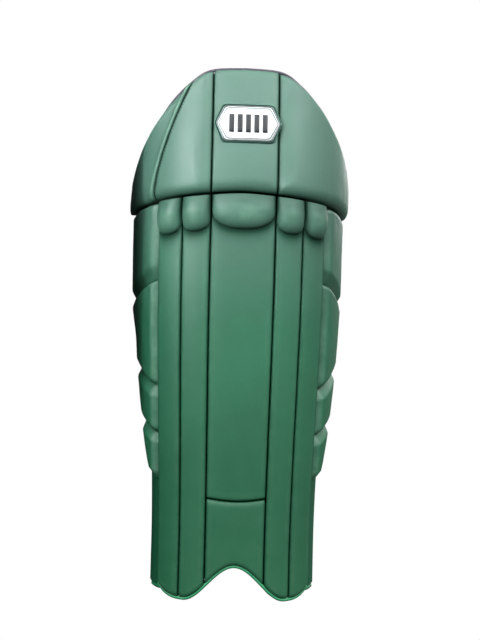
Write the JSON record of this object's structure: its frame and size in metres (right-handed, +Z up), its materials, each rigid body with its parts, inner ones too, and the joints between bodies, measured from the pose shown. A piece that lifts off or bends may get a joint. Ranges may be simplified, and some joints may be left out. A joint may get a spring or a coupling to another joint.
{
  "type": "cricket leg pad",
  "caption": "Wicket-keeper's leg guard for one leg: padded shin rolls, stepped side wings, a folding top section with a badge, and hook-and-loop straps behind.",
  "frame": {"origin": "middle of the flat face of the shin cushion, where the wearer's shin rests", "axes": "+Z up the leg, +Y out of the cushion towards the leg, so the padded front faces -Y; +X towards the outside of the leg"},
  "size_m": [0.2887, 0.2, 0.6799],
  "materials": {
    "green_leather": "satin grained synthetic leather, dark green",
    "dark_leather": "satin grained synthetic leather, the darker green of the backs",
    "piping": "satin synthetic leather piping, brighter green",
    "lining_cloth": "matte brushed knit lining",
    "cushion_cloth": "matte brushed knit over foam",
    "board": "matte dense foam board, hidden",
    "foam": "matte foam, hidden",
    "cane": "satin peeled cane, hidden",
    "badge_rim": "brushed metal-look rim",
    "badge_face": "glossy white",
    "hook_tape": "matte black hook tape",
    "loop_tape": "matte black loop tape"
  },
  "bodies": {
    "shin": {"shin_board": "board", "shin_lining": "lining_cloth", "shin_cushion": "cushion_cloth", "inside_knee_bolster": "cushion_cloth", "outside_knee_bolster": "cushion_cloth", "centre_shin_panel": "green_leather", "shin_foam_core": "foam", "instep_panel": "green_leather", "inside_shin_roll": "green_leather", "inside_shin_roll_cane": "cane", "inside_edge_roll": "green_leather", "inside_edge_roll_cane": "cane", "outside_shin_roll": "green_leather", "outside_shin_roll_cane": "cane", "outside_edge_roll": "green_leather", "outside_edge_roll_cane": "cane", "knee_cup": "green_leather", "inside_shin_roll_knee_roll": "green_leather", "inside_edge_roll_knee_roll": "green_leather", "outside_shin_roll_knee_roll": "green_leather", "outside_edge_roll_knee_roll": "green_leather", "bottom_piping": "piping", "inside_wing_board": "dark_leather", "inside_wing_pad_1": "green_leather", "inside_wing_pad_2": "green_leather", "inside_wing_pad_3": "green_leather", "inside_wing_pad_4": "green_leather", "outside_wing_board": "dark_leather", "outside_wing_pad_1": "green_leather", "outside_wing_pad_2": "green_leather", "outside_wing_pad_3": "green_leather", "outside_wing_pad_4": "green_leather", "knee_fold_gusset": "lining_cloth", "knee_strap_anchor": "green_leather", "knee_strap_tongue": "green_leather", "knee_strap_loops": "loop_tape", "calf_strap_anchor": "green_leather", "calf_strap_tongue": "green_leather", "calf_strap_loops": "loop_tape", "ankle_strap_anchor": "green_leather", "ankle_strap_tongue": "green_leather", "ankle_strap_loops": "loop_tape"},
    "top": {"top_board": "dark_leather", "top_lining": "lining_cloth", "top_centre_panel": "green_leather", "top_inside_flank": "green_leather", "top_inside_wing": "green_leather", "top_outside_flank": "green_leather", "top_inside_bolster": "cushion_cloth", "top_outside_bolster": "cushion_cloth", "badge_plate": "badge_rim", "badge_face": "badge_face"},
    "knee_strap": {"knee_strap": "green_leather", "knee_strap_hooks": "hook_tape"},
    "calf_strap": {"calf_strap": "green_leather", "calf_strap_hooks": "hook_tape"},
    "ankle_strap": {"ankle_strap": "green_leather", "ankle_strap_hooks": "hook_tape"}
  },
  "joints": [
    {"name": "knee_fold", "type": "hinge", "parent": "shin", "child": "top", "pos_m": [0, 0.0054, 0.21], "axis": [-1, 0, 0], "range_deg": [0, 25], "stiffness_Nm_per_rad": 1.5, "deforming": ["inside_wing_pad_1", "outside_wing_pad_1", "knee_fold_gusset"]},
    {"name": "knee_strap_swing", "type": "hinge", "parent": "shin", "child": "knee_strap", "pos_m": [-0.1185, 0.0946, 0.098], "axis": [0, 0, 1], "range_deg": [0, 80]},
    {"name": "calf_strap_swing", "type": "hinge", "parent": "shin", "child": "calf_strap", "pos_m": [-0.1129, 0.078, -0.008], "axis": [0, 0, 1], "range_deg": [0, 80]},
    {"name": "ankle_strap_swing", "type": "hinge", "parent": "shin", "child": "ankle_strap", "pos_m": [-0.1027, 0.0472, -0.108], "axis": [0, 0, 1], "range_deg": [0, 80]}
  ]
}
